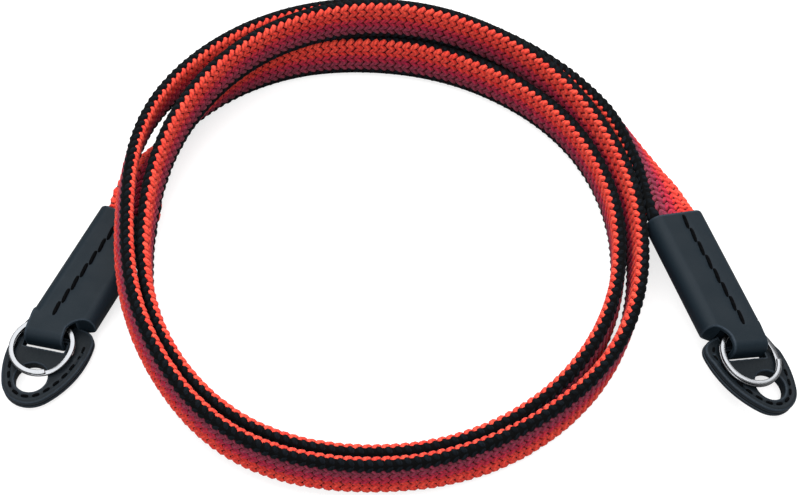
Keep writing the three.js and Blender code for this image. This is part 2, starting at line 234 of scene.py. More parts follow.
def curve_through(points, per_span):
    """Curve through points whose speed at each is set by the square roots of the spans, which keeps close
    stations free of loops. Returns the points and where each lies among the stations."""
    p = np.vstack([2 * points[:1] - points[1:2], points, 2 * points[-1:] - points[-2:-1]])
    d = np.sqrt(np.linalg.norm(np.diff(p, axis=0), axis=1))[:, None]
    p0, p1, p2, p3 = p[:-3], p[1:-2], p[2:-1], p[3:]
    d0, d1, d2 = d[:-2], d[1:-1], d[2:]
    m1 = d1 * ((p1 - p0) / d0 - (p2 - p0) / (d0 + d1) + (p2 - p1) / d1)
    m2 = d1 * ((p2 - p1) / d1 - (p3 - p1) / (d1 + d2) + (p3 - p2) / d2)
    t = (np.arange(per_span) / per_span)[None, :, None]
    p1, p2, m1, m2 = (a[:, None, :] for a in (p1, p2, m1, m2))
    body = p1 + t * m1 + t**2 * (3 * (p2 - p1) - 2 * m1 - m2) + t**3 * (2 * (p1 - p2) + m1 + m2)
    where = np.append((np.arange(len(points) - 1)[:, None] + t[0, :, 0]).ravel(), len(points) - 1)
    return np.vstack([body.reshape(-1, 3), points[-1:]]), where


# %% Measure the route
stations = route_stations()
route, where = curve_through(stations[:, :3], SPAN_STEPS)
route_lean = np.radians(smooth_rows(stations[:, 3], where))[:, None]
route_run = np.append(0, np.cumsum(np.linalg.norm(np.diff(route, axis=0), axis=1)))
ROPE_LENGTH = route_run[-1]
tangent = np.gradient(route, route_run, axis=0)
tangent /= np.linalg.norm(tangent, axis=1)[:, None]
outward = np.stack([-tangent[:, 1], tangent[:, 0], 0 * tangent[:, 0]], 1)
outward /= np.linalg.norm(outward, axis=1)[:, None]
upward = np.cross(tangent, outward)
edge_way = upward * np.cos(route_lean) - outward * np.sin(route_lean)  # to the rope's upper edge
face_way = outward * np.cos(route_lean) + upward * np.sin(route_lean)  # out of the rope's outer face
print(f"rope {ROPE_LENGTH:.1f} mm long, from inside one sleeve to inside the other")

# %% [markdown]
# ## A skin round the rope
# A knitted tube pressed flat has two flat faces and two round edges. Its skin has two numbers of its own:
# how far along the rope, and how far round the section from the middle of the upper edge, going down the
# inner face first. A third says how far out from the section's bone, the line between the middles of the
# round edges. Whatever is drawn with these three follows every bend and twist of the rope.

# %% Skin formula
EDGE_ARC = math.pi * ROPE["thickness"] / 4  # a quarter of a round edge's circle
FLAT = 2 * BONE
ROUND = 4 * EDGE_ARC + 2 * FLAT  # once round the section
ROUND_STOPS = np.cumsum([0, EDGE_ARC, FLAT, 2 * EDGE_ARC, FLAT, EDGE_ARC])
ROUND_TURNS = np.radians([0, 90, 90, 270, 270, 360])
ROUND_BONES = np.array([1, 1, -1, -1, 1, 1]) * BONE


def on_route(run, rows):
    """Rows that belong to the route's points, read at places along the rope."""
    return np.stack([np.interp(run, route_run, rows[:, k]) for k in range(3)], -1)


def rope_skin(run, around, out):
    """Route point, plus the bone's place towards the upper edge, plus out times the section's normal. The
    normal turns with around on the edges and stands still on the faces."""
    around = np.mod(around, ROUND)
    turn = np.interp(around, ROUND_STOPS, ROUND_TURNS)
    bone = np.interp(around, ROUND_STOPS, ROUND_BONES)
    to_edge, to_face = (bone + out * np.cos(turn))[..., None], (out * np.sin(turn))[..., None]
    return on_route(run, route) + on_route(run, edge_way) * to_edge - on_route(run, face_way) * to_face


print(f"{ROUND:.1f} mm once round the rope")

# %% [markdown]
# ## Shared finishes
# Yarn and thread share one effect: fine plies that run along each strand, with painted shade in the grooves
# between them, and a tone of its own for each stitch, which on the knit also holds painted light. Both
# leathers
# share another: a fine pebble grain and paler edges, partly wear and partly a painted highlight. Each effect
# is a node group that puts out a colour and a height, so that one change to it reaches every material that
# uses it.


# %% Node helpers
def linear(red, green, blue):
    """A colour as seen on a screen, 0 to 255, as the linear values that a shader takes."""
    c = np.array([red, green, blue]) / 255
    return (*np.where(c <= 0.04045, c / 12.92, ((c + 0.055) / 1.055) ** 2.4).tolist(), 1.0)


def new_group(name, inputs, outputs):
    """An empty node group with its named sockets, and its input and output nodes."""
    kinds = {"value": "NodeSocketFloat", "colour": "NodeSocketColor"}
    group = bpy.data.node_groups.new(name, "ShaderNodeTree")
    for way, sockets in (("INPUT", inputs), ("OUTPUT", outputs)):
        for label, kind in sockets:
            group.interface.new_socket(name=label, in_out=way, socket_type=kinds[kind])
    return group, group.nodes.new("NodeGroupInput"), group.nodes.new("NodeGroupOutput")


def new_material(name, **values):
    """A material with its principled shader, whose plain values are set on its own sockets."""
    material = bpy.data.materials.new(name)
    material.use_nodes = True
    shader = material.node_tree.nodes["Principled BSDF"]
    for key, value in values.items():
        shader.inputs[key.replace("_", " ")].default_value = value
    return material, material.node_tree, shader


def add(tree, kind, **settings):
    """A node of a kind, with its settings, and with input values given by socket name."""
    node = tree.nodes.new(kind)
    values = settings.pop("values", {})
    for key, value in settings.items():
        setattr(node, key, value)
    for key, value in values.items():
        node.inputs[key].default_value = value
    return node


def feed(tree, sockets, sources):
    """Each socket takes its source: another node's output is linked to it, a plain value is set on it."""
    for socket, source in zip(sockets, sources):
        if isinstance(source, bpy.types.NodeSocket):
            tree.links.new(source, socket)
        else:
            socket.default_value = source


def attribute(tree, name):
    """The values that point_values stored under a name."""
    return add(tree, "ShaderNodeAttribute", attribute_name=name).outputs["Fac"]


def texture(tree, kind, values, **settings):
    """A texture that is fixed to its piece by Object coordinates."""
    node = add(tree, kind, values=values, **settings)
    tree.links.new(add(tree, "ShaderNodeTexCoord").outputs["Object"], node.inputs["Vector"])
    return node


def calculate(tree, operation, *sources, clamp=False):
    """The result of one step of arithmetic on outputs and plain numbers."""
    node = add(tree, "ShaderNodeMath", operation=operation, use_clamp=clamp)
    feed(tree, node.inputs, sources)
    return node.outputs[0]


def rescale(tree, source, span, to_span):
    """A value carried from one span to another and held in it."""
    node = add(tree, "ShaderNodeMapRange")
    feed(tree, node.inputs, (source, *span, *to_span))
    return node.outputs[0]


def blend(tree, share, first, second):
    """The colour between two colours, by a share. A Mix node's colours are its sockets 6 and 7, and 2 out."""
    node = add(tree, "ShaderNodeMix", data_type="RGBA")
    feed(tree, [node.inputs[k] for k in (0, 6, 7)], (share, first, second))
    return node.outputs[2]


def place_effect(tree, shader, group, values, bump, depth):
    """An effect in a material: its values set, its colour on the shader and its height as a bump."""
    effect = add(tree, "ShaderNodeGroup", node_tree=group, values=values)
    relief = add(tree, "ShaderNodeBump", values={"Strength": bump, "Distance": depth})
    tree.links.new(effect.outputs["Height"], relief.inputs["Height"])
    tree.links.new(effect.outputs["Colour"], shader.inputs["Base Color"])
    tree.links.new(relief.outputs["Normal"], shader.inputs["Normal"])
    return effect


# %% Yarn effect
PLY_HEIGHT = 0.35  # of a ply against the fibres that lie on it
yarn_group, yarn_in, yarn_out = new_group(
    "yarn_plies",
    [("Colour", "colour"), ("Ply shade", "colour"), ("Bright", "colour"), ("Plies", "value"), ("Twist", "value")],
    [("Colour", "colour"), ("Height", "value")])
tree, given = yarn_group, yarn_in.outputs
strand = add(tree, "ShaderNodeSeparateXYZ")  # along the strand, and round it
feed(tree, strand.inputs, [add(tree, "ShaderNodeUVMap", uv_map="along_and_round").outputs[0]])
lay = calculate(tree, "MULTIPLY_ADD", strand.outputs[0], given["Twist"], strand.outputs[1])
count = calculate(tree, "MULTIPLY", lay, given["Plies"])
ply = calculate(tree, "SINE", calculate(tree, "MULTIPLY", count, 2 * math.pi))
fibre = texture(tree, "ShaderNodeTexNoise", {"Scale": 2600.0, "Detail": 3.0, "Roughness": 0.6})
height = calculate(tree, "MULTIPLY_ADD", ply, PLY_HEIGHT, fibre.outputs["Fac"])
# A stitch's colour runs towards its bright colour by a value that holds painted light on the knit as well as
# its own uneven tone.
stitch_colour = blend(tree, attribute(tree, "tone_and_painted_light"), given["Colour"], given["Bright"])
# painted shade: the colour runs towards the deep colour where the plies lie low, in the grooves between them
painted_shade_between_plies = rescale(tree, height, (0.05, 0.75), (0.55, 0.0))
yarn_colour = blend(tree, painted_shade_between_plies, stitch_colour, given["Ply shade"])
feed(tree, yarn_out.inputs, [yarn_colour, height])
print("yarn effect has", len(yarn_group.nodes), "nodes")

# %% Yarn materials
PLY_DEPTH = 0.00012  # metres of bump


def yarn_material(name, colour, deep, bright, plies=3.0, twist=0.6, roughness=0.88, bump=0.35, sheen=0.08,
                  specular=0.12):
    """A dyed yarn: its colour, its painted shade between the plies, and its colour on the brightest stitches,
    which on the knit are lighter partly by chance and partly by painted light.
    """
    material, tree, shader = new_material(
        name, Roughness=roughness, Sheen_Weight=sheen, Sheen_Roughness=0.5, Specular_IOR_Level=specular)
    values = {"Colour": linear(*colour), "Ply shade": linear(*deep), "Bright": linear(*bright),
              "Plies": plies, "Twist": twist}
    place_effect(tree, shader, yarn_group, values, bump, PLY_DEPTH)
    return material


# Each yarn's second colour is painted shade between its plies, and its third is the colour of its lightest
# stitches.
YARNS = {
    "red": yarn_material("yarn_red", (226, 53, 45), (150, 18, 20), (246, 86, 66)),
    "orange": yarn_material("yarn_orange", (211, 47, 47), (130, 18, 22), (234, 77, 62)),
    "crimson": yarn_material("yarn_crimson", (162, 34, 66), (84, 12, 32), (198, 47, 63)),
    "plum": yarn_material("yarn_plum", (121, 46, 64), (58, 18, 28), (152, 53, 76)),
    "black": yarn_material("yarn_black", (9, 13, 17), (2, 3, 4), (19, 26, 33), roughness=0.95, sheen=0.0),
}
print("yarns:", list(YARNS))

# %% [markdown]
# ## The rope's core
# Under the stitches the tube is dark: what shows between them is the yarn of the far wall in shade. The core
# is the section carried along the whole route. It is thinner than the rope under the coloured rows and full
# under the black ones, which are knitted more densely. A bevelled curve could make it too, but the skin
# formula keeps it in step with the stitches. It has the rope's own length.

# %% Core material
core_material, tree, shader = new_material("rope_inside", Roughness=0.95, Specular_IOR_Level=0.1)
shade = texture(tree, "ShaderNodeTexNoise", {"Scale": 900.0, "Detail": 2.0})
far_wall = blend(tree, shade.outputs["Fac"], linear(44, 8, 14), linear(88, 14, 24))
inside = blend(tree, attribute(tree, "beneath_black"), far_wall, linear(4, 5, 6))
feed(tree, [shader.inputs["Base Color"]], [inside])

# %% Core
CORE_ROWS, CORE_SIDES = 460, 24
CORE_OUT, BLACK_OUT = 1.0, 1.42  # half thickness under the coloured rows and under the black ones
BLACK_FROM, BLACK_TO = 0.76, 0.04  # the black rows in each half of the section, and a little past its end
core_runs = np.linspace(0, ROPE_LENGTH, CORE_ROWS)
core_round = np.linspace(0, ROUND, CORE_SIDES, endpoint=False)
half_share = np.mod(core_round / (ROUND / 2), 1)
black = (half_share > BLACK_FROM) | (half_share < BLACK_TO)
core_out = np.tile(np.where(black, BLACK_OUT, CORE_OUT), (CORE_ROWS, 1))
core_points = rope_skin(core_runs[:, None], core_round[None, :], core_out).reshape(-1, 3)
core_ends = on_route(core_runs[[0, -1]], route)
core_quads = grid_quads(CORE_ROWS, CORE_SIDES)
core_caps = np.vstack([
    pole_tris(len(core_points), 0, CORE_SIDES)[:, ::-1],
    pole_tris(len(core_points) + 1, (CORE_ROWS - 1) * CORE_SIDES, CORE_SIDES)])
rope_core = make_piece("rope_core", np.vstack([core_points, core_ends]), core_quads, core_caps, core_material)
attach(rope_core, "strap")
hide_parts("rope")
point_values(rope_core, "beneath_black", np.append(np.tile(black, CORE_ROWS), [0, 0]))

# %% [markdown]
# ## The knitted stitches
# A knitted tube is made of columns of V shapes. Each V has two legs, plump seeds of yarn that slant forward
# from the column's middle. This rope has ten columns, five on each half of the section, in the same five
# colours. A bump pattern would look right only from far away: the edges of a knitted rope are lumpy, and the
# lobes of the red column stand out along them. So each leg is a small closed seed of thirty faces, and one
# array sum copies it to every course and row.

# %% Stitch rows
COURSE = 1.9  # from one V to the next along the rope
# A leg's slant in degrees, half length, half width, how proud it stands and how far it lags its course.
LEGS = {
    "lobe": (44, 1.4, 0.72, 0.1, 0.0),
    "leg": (32, 1.4, 0.56, 0.0, 0.0),
    "dark": (50, 1.26, 0.66, 0.1, 1.25),
}
# Half of the section, from an edge down a face: colour, row's width, slant's sense, kind of leg, brightness.
# The brightness is painted light: in each colour the legs that slant one way are painted lighter than those
# that slant the other, and the red lobes along the edge lighter still.
HALF_ROWS = [
    ("red", 1.30, -1, "lobe", 0.8), ("red", 1.15, 1, "leg", 0.5),
    ("orange", 1.18, -1, "leg", 0.75), ("orange", 1.18, 1, "leg", 0.25),
    ("crimson", 1.18, -1, "leg", 0.75), ("crimson", 1.18, 1, "leg", 0.25),
    ("plum", 1.18, -1, "leg", 0.75), ("plum", 1.18, 1, "leg", 0.25),
    ("black", 1.68, -1, "dark", 0.4), ("black", 1.68, 1, "dark", 0.4),
]
row_width = np.array([row[1] for row in HALF_ROWS])
row_width *= ROUND / 2 / row_width.sum()
row_middle = np.cumsum(row_width) - row_width / 2
print("rows of legs, mm from the edge's middle:", row_middle.round(2))

# %% Leg of a stitch
SEED_RINGS = np.array([-0.76, -0.3, 0.28, 0.76])  # shares of the half length
SEED_SIDES = np.radians([-12, 40, 90, 140, 192, 270])  # closer together on the side that shows
SEED_POLES = [[-1, 0, -0.15], [1, 0, -0.1]]
BLUNT = 0.34  # how much the swell leans to the front of a leg


def leg_seed():
    """Points of one leg: along and across as shares of its half length and half width, and up as a share of
    its half thickness. Rings swell along the leg, blunt at the front and narrow at the back, where the two
    legs of a V meet and leave a small hole."""
    rings, sides = len(SEED_RINGS), len(SEED_SIDES)
    swell = (np.sqrt(1 - SEED_RINGS**2) * (1 + BLUNT * SEED_RINGS))[:, None]
    along = np.repeat(SEED_RINGS[:, None], sides, 1)
    points = np.stack([along, swell * np.cos(SEED_SIDES), swell * np.sin(SEED_SIDES)], -1).reshape(-1, 3)
    poles = np.vstack([pole_tris(rings * sides, 0, sides)[:, ::-1],
                       pole_tris(rings * sides + 1, (rings - 1) * sides, sides)])
    u = np.append(points[:, 0] / 2 + 0.5, [0, 1])
    v = np.append(np.tile(np.arange(sides) / sides, rings), [0, 0])
    return np.vstack([points, SEED_POLES]), grid_quads(rings, sides), poles, u, v


SEED, SEED_QUADS, SEED_TRIS, SEED_U, SEED_V = leg_seed()
print(len(SEED_QUADS) + len(SEED_TRIS), "faces in a leg")

# %% Knit
LEG_OUT = 0.94  # height of a leg's middle above the bone
LEG_THICK = 0.60
HIDDEN_IN_SLEEVE = 20.0  # rope at each end that has no stitches
SHIFT = {"middle": 0.5, "far": 0.22, "right": 0.15}
STRAY = {"run": 0.05, "round": 0.03, "out": 0.02, "tone_and_painted_light": 0.2}  # how far the legs differ from each other
rng = np.random.default_rng(41)


def row_shift(run):
    """How far the rows lie round the rope from their places in the table, because it twists a little as it is
    coiled: a middle value, plus shares that grow to the coil's far side and to its right side."""
    aside, away = (on_route(run, route)[:, :2] - COIL_MIDDLE).T
    return SHIFT["middle"] + (SHIFT["far"] * away + SHIFT["right"] * aside) / np.hypot(aside, away)


def knit(colour):
    """All the legs of one colour: seed points, slanted in the skin's along and round numbers, at each course
    of each row of that colour, then laid on the rope by the skin formula."""
    course = np.arange(HIDDEN_IN_SLEEVE, ROPE_LENGTH - HIDDEN_IN_SLEEVE, COURSE)
    n = len(course)
    along, across, up = SEED.T
    runs, rounds, outs, tones, mirrored = [], [], [], [], []
    for half in (0, 1):
        for row, (row_colour, _, sense, kind, bright) in enumerate(HALF_ROWS):
            if row_colour != colour:
                continue
            degrees, half_long, half_wide, proud, lag = LEGS[kind]
            slant = math.radians(degrees)
            step_run = half_long * along * math.cos(slant) - half_wide * across * math.sin(slant)
            step_round = half_long * along * math.sin(slant) + half_wide * across * math.cos(slant)
            stray = rng.normal(0, 1, (3, n, 1))
            runs.append(course[:, None] + lag + step_run + STRAY["run"] * stray[0])
            middle = half * ROUND / 2 + row_middle[row] + row_shift(course)[:, None]
            rounds.append(middle + sense * (step_round + STRAY["round"] * stray[1]))
            outs.append(LEG_OUT + proud + LEG_THICK * up + STRAY["out"] * stray[2])
            # The row's brightness is painted light, and the spread about it is the legs' own uneven tone.
            tone_and_painted_light = np.clip(rng.normal(bright, STRAY["tone_and_painted_light"], (n, 1)), 0, 1)
            tones.append(np.repeat(tone_and_painted_light, len(SEED), 1))
            mirrored.append(np.full((n, 1, 1), sense < 0))
    points = rope_skin(np.vstack(runs), np.vstack(rounds), np.vstack(outs)).reshape(-1, 3)
    legs = len(points) // len(SEED)
    base = (np.arange(legs) * len(SEED))[:, None, None]
    kept_way = np.concatenate(mirrored)  # a mirrored leg's faces already point outwards
    quads = np.where(kept_way, SEED_QUADS[None], SEED_QUADS[None, :, ::-1]) + base
    tris = np.where(kept_way, SEED_TRIS[None], SEED_TRIS[None, :, ::-1]) + base
    piece = make_piece("knit_" + colour, points, quads.reshape(-1, 4), tris.reshape(-1, 3), YARNS[colour])
    point_values(piece, "tone_and_painted_light", np.vstack(tones))
    corner_map(piece, np.tile(SEED_U, legs), np.tile(SEED_V, legs))
    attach(piece, "strap")
    return piece


knit_pieces = [knit(colour) for colour in YARNS]

# %% [markdown]
# ## Leather as a level surface
# A sleeve is a tube with a pocket, notched shoulders and a tab that folds into a loop. A grid of two numbers
# can't cover a tube that splits into a loop. So its shape is a distance formula: negative inside the leather
# and positive outside, with cuts and joins rounded as a cut edge is. The skin is where it is zero. One point
# goes into every grid cell that the skin crosses, at the mean of its edges' crossings.


# %% Level surface
def shared(a, b, radius):
    """What two distance formulas have in common, with its edge rounded to a radius."""
    u, v = np.maximum(a + radius, 0), np.maximum(b + radius, 0)
    return np.minimum(np.maximum(a, b), -radius) + np.hypot(u, v)


def box_2d(x, y, half_x, half_y, radius):
    """Distance to a rounded rectangle about the origin."""
    u, v = np.abs(x) - half_x + radius, np.abs(y) - half_y + radius
    return np.minimum(np.maximum(u, v), 0) + np.hypot(np.maximum(u, 0), np.maximum(v, 0)) - radius


def level_axes(low, high, cell):
    """The grid's places along each of three axes."""
    return [np.arange(a, b + cell, cell) for a, b in zip(low, high)]


def level_skin(field, low, cell):
    """Points, faces and roundness of the zero level of a field on a grid. Along each grid edge the crossing
    lies where a straight line between its two values is zero; each crossed edge gets a face between the four
    cells that share it. The roundness is the field's sum of second differences."""
    shape = np.array(field.shape) - 1
    total, count = np.zeros((*shape, 3)), np.zeros(shape)
    faces = []
    number = np.arange(shape.prod()).reshape(shape)
    core = (slice(1, -1),) * 3
    second = -6 * field[core]
    for axis in range(3):
        b, c = (axis + 1) % 3, (axis + 2) % 3
        f = np.transpose(field, (axis, b, c))
        start, stop = f[:-1], f[1:]
        crossed = (start < 0) != (stop < 0)
        share = np.where(crossed, start / np.where(crossed, start - stop, 1), 0)
        i, j, k = np.meshgrid(*(np.arange(n) for n in crossed.shape), indexing="ij")
        place = np.stack([i + share, j, k], -1) * crossed[..., None]
        back = np.argsort((axis, b, c))
        _, wide, high = crossed.shape
        for db in (0, 1):
            for dc in (0, 1):
                rows = slice(None), slice(db, wide - 1 + db), slice(dc, high - 1 + dc)
                total += np.transpose(place[rows], (*back, 3))[..., back]
                count += np.transpose(crossed[rows], back)
        n = np.transpose(number, (axis, b, c))
        inner = crossed[:, 1:-1, 1:-1]
        ring = np.stack([n[:, :-1, :-1], n[:, 1:, :-1], n[:, 1:, 1:], n[:, :-1, 1:]], -1)[inner]
        leaving = (start < 0)[:, 1:-1, 1:-1][inner]
        faces.append(np.where(leaving[:, None], ring, ring[:, ::-1]))
        second = second + np.roll(field, 1, axis)[core] + np.roll(field, -1, axis)[core]
    used = count > 0
    points = np.asarray(low) + cell * (total[used] / count[used][:, None])
    order = np.cumsum(used.ravel()) - 1
    bend = np.pad(second / cell**2, ((1, 0), (1, 0), (1, 0)), mode="edge")
    return points, order[np.vstack(faces)], bend[used]


# %% [markdown]
# ## Leather finish
# The leather is smooth charcoal calf with a faint blue cast, a very fine grain, and edges that are paler,
# partly where handling has polished them and partly as a painted highlight. An image of leather would show
# seams on such a folded shape, and cells worked out from a point's place show none. The grain is two sizes of
# cells, and the pale edges, wear and painted highlight together, come from the roundness that was measured
# with each skin.

# %% Leather effect
PORES_PER_PEBBLE = 2.3
PEBBLE_HEIGHT = 0.7  # of a pebble against the pores
leather_group, leather_in, leather_out = new_group(
    "leather_grain",
    [("Colour", "colour"), ("Worn and lit", "colour"), ("Scale", "value"), ("Wear and highlight", "value")],
    [("Colour", "colour"), ("Roughness", "value"), ("Height", "value")])
tree, given = leather_group, leather_in.outputs
pebble = texture(tree, "ShaderNodeTexVoronoi", {"Smoothness": 0.6}, feature="SMOOTH_F1")
pores = texture(tree, "ShaderNodeTexNoise", {"Detail": 4.0, "Roughness": 0.62})
cloud = texture(tree, "ShaderNodeTexNoise", {"Scale": 170.0, "Detail": 3.0})
fine = calculate(tree, "MULTIPLY", given["Scale"], PORES_PER_PEBBLE)
feed(tree, [pebble.inputs["Scale"], pores.inputs["Scale"]], [given["Scale"], fine])
pore = pores.outputs["Fac"]
grain = calculate(tree, "MULTIPLY_ADD", pebble.outputs["Distance"], PEBBLE_HEIGHT, pore)
# pale edges: wear from handling together with a painted highlight, on the rounded edges and broken into
# patches
edge_wear_and_highlight = calculate(tree, "MULTIPLY", attribute(tree, "roundness"), given["Wear and highlight"], clamp=True)
patches = rescale(tree, pore, (0.3, 0.7), (0.25, 1.0))
worn_and_lit_edges = calculate(tree, "MULTIPLY", edge_wear_and_highlight, patches, clamp=True)
leather_colour = blend(tree, worn_and_lit_edges, given["Colour"], given["Worn and lit"])
dullness = rescale(tree, cloud.outputs["Fac"], (0.3, 0.7), (0.42, 0.56))
feed(tree, leather_out.inputs, [leather_colour, dullness, grain])
print("leather effect has", len(leather_group.nodes), "nodes")

# %% Leather materials
GRAIN_DEPTH = 0.00006  # metres of bump


def leather_material(name, colour, worn_and_lit, scale, wear_and_highlight, bump):
    """Leather with its own colours, grain size in cells per metre, the strength of its pale edges, which are
    wear and painted highlight, and depth of grain.
    """
    material, tree, shader = new_material(name, Specular_IOR_Level=0.12)
    values = {"Colour": linear(*colour), "Worn and lit": linear(*worn_and_lit), "Scale": scale, "Wear and highlight": wear_and_highlight}
    effect = place_effect(tree, shader, leather_group, values, bump, GRAIN_DEPTH)
    tree.links.new(effect.outputs["Roughness"], shader.inputs["Roughness"])
    return material


def leather_piece(kind, side, skin, material):
    """A leather piece of an end from its skin, with the roundness that its material reads."""
    points, faces, bend = skin
    piece = make_piece(f"leather_{kind}_{side}", lay_end(side, points), faces, material=material)
    point_values(piece, "roundness", bend)
    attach(piece, "strap")
    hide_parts(f"{kind}_{side}")


# The second colour is for the pale edges, wear and painted highlight together.
SLEEVE_LEATHER = leather_material("sleeve_leather", (18, 28, 35), (62, 74, 86), 2600.0, 0.14, 0.25)
FLAP_LEATHER = leather_material("flap_leather", (13, 20, 25), (48, 57, 66), 2300.0, 0.3, 0.4)

# %% [markdown]
# ## The sleeves
# The sleeve closes round the rope's end. Its sides are rolled. At its end the inner shoulder has a round
# notch and the outer one a slanted corner, and the tab between them folds over and returns below, leaving a
# slot for the ring and the flap. A row of hand stitches pulls the leather down a little. The formula counts
# across towards the coil, so that the two ends mirror each other.

# %% Sleeve formula
# Sizes, places along the end and heights. The notch, the tab and the slot are counted in the tab's plan.
SLEEVE = {
    "width": 14.2, "thick": 5.8, "edge": 2.6, "shoulder": 33.0, "notch": 3.9, "notch_at": (33.2, 8.0),
    "corner_from": 30.0, "corner_slope": 0.55, "tab": 8.6, "tab_shift": 1.25, "tab_pivot": 35.0,
    "tab_from": 27.5, "tab_end": 35.5, "slot_start": 28.0, "slot_inner": 5.5, "slot_corner": 1.0,
    "floor": 0.85, "roof": 4.85, "wall": 1.1, "corner": 2.2,
}
SLEEVE_ROUNDING = {"cut": 0.4, "shoulder": 0.35, "slot": 0.25, "mouth": 0.5}
ROOM = 0.3  # left round what passes through the leather
SEAM = {"start": 0.5, "end": 29.6, "pitch": 3.6, "fade": 1.5, "dip": 0.18, "even": 0.75, "reach": 0.85,
        "across": -0.5, "drift": -0.05}


def seam_line(x):
    """How far across the seam lies at a place along the sleeve."""
    return SEAM["across"] + SEAM["drift"] * x


def seam_dip(x, across):
    """How far the stitches sink the leather: a soft furrow along the seam, deepest where a stitch goes in."""
    from_start, from_end = (x - SEAM["start"]) / SEAM["fade"], (SEAM["end"] - x) / SEAM["fade"]
    shown = np.clip(from_start, 0, 1) * np.clip(from_end, 0, 1)
    wave = np.cos(2 * math.pi * (x - SEAM["start"]) / SEAM["pitch"])
    pull = SEAM["even"] + (1 - SEAM["even"]) * wave
    return SEAM["dip"] * shown * pull * np.exp(-(((across - seam_line(x)) / SEAM["reach"]) ** 2))


def tab_plan(x, across, degrees):
    """Places counted in the tab's own plan: from its pivot, turned back by the tab's turn."""
    angle = math.radians(degrees)
    dx, dy = x - SLEEVE["tab_pivot"], across + SLEEVE["tab_shift"]
    return (SLEEVE["tab_pivot"] + dx * math.cos(angle) + dy * math.sin(angle),
            dy * math.cos(angle) - dx * math.sin(angle))


def shoulder_cuts(x, across, degrees):
    """Positive in the inner shoulder's round notch, and positive beyond the outer one's slanted corner."""
    s = SLEEVE
    u, v = tab_plan(x, across, degrees)
    slope = s["corner_slope"]
    corner = (slope * (x - s["corner_from"]) - s["width"] / 2 - across) / math.hypot(1, slope)
    return s["notch"] - np.hypot(u - s["notch_at"][0], v - s["notch_at"][1]), corner


def sleeve_field(x, across, z, degrees):
    """Rolled tube less the notch and the corner, joined to the folded tab, less the slot and the rope's
    pocket. Near the seam the height is measured lower, which sinks the leather round each stitch."""
    s, rounding = SLEEVE, SLEEVE_ROUNDING
    mid = s["thick"] / 2
    z = z + seam_dip(x, across) * (z > mid)
    rolled = box_2d(across, z - mid, s["width"] / 2, mid, s["edge"])
    tube = shared(rolled, np.maximum(-x, x - s["shoulder"]), rounding["cut"])
    for cut in shoulder_cuts(x, across, degrees):
        tube = shared(tube, cut, rounding["shoulder"])
    u, v = tab_plan(x, across, degrees)
    half_tab = (s["tab_end"] - s["tab_from"]) / 2
    fold = box_2d(u - s["tab_from"] - half_tab, z - mid, half_tab, mid, s["corner"])
    tab = shared(fold, np.abs(v) - s["tab"] / 2, rounding["cut"])
    half_slot = (s["tab_end"] - s["wall"] - s["slot_start"]) / 2
    half_gap = (s["roof"] - s["floor"]) / 2
    slot_u, slot_z = u - s["slot_start"] - half_slot, z - s["floor"] - half_gap
    slot = np.maximum(box_2d(slot_u, slot_z, half_slot, half_gap, s["slot_corner"]), v - s["slot_inner"])
    bed = ROPE["thickness"] / 2 + ROOM
    pocket = box_2d(across, z - mid, ROPE["width"] / 2 + ROOM, bed, bed - 0.01)  # just short of half round
    pocket = np.maximum(pocket, x - ROPE["in_sleeve"] - ROOM)
    return shared(shared(np.minimum(tube, tab), -slot, rounding["slot"]), -pocket, rounding["mouth"])


# %% Sleeves
SLEEVE_CELL = 0.21
low, high = (-0.7, -7.8, -0.7), (36.4, 7.8, 6.5)
x, y, z = np.meshgrid(*level_axes(low, high, SLEEVE_CELL), indexing="ij")
for side, end in ENDS.items():
    field = sleeve_field(x, end["inner"] * y, z, end["tab_turn"])
    leather_piece("sleeve", side, level_skin(field, low, SLEEVE_CELL), SLEEVE_LEATHER)

# %% [markdown]
# ## The flaps
# The flap is a tongue of two layers of leather sewn round the edge, with a round hole for the lug of a
# camera. Only its upper layer reaches into the sleeve's loop, and a slit lets the tab through. Its edge
# shows the line between the layers, and the stitches lie in a shallow channel. All of these are cuts in one
# shape, so the flap is a level surface too.

# %% Flap outline
# Places along the end, the outline's half width and radii, the heights of the upper side beyond and before
# its ramp and of the lower layer, and the hole's sizes.
FLAP = {
    "start": 28.6, "half": 8.25, "shoulder": 3.2, "side_radius": 20.0, "tip": 49.4, "tip_radius": 6.3,
    "top": 2.5, "margin": 2.05, "ramp": 2.4, "lower": 1.05, "hole": 43.2, "hole_long": 6.9, "hole_wide": 7.0,
    "slit": 33.55, "bar": 32.5, "ear": 29.4, "in_slot": 29.2, "turns_at": 34.0,
}
ARC_POINTS = 90


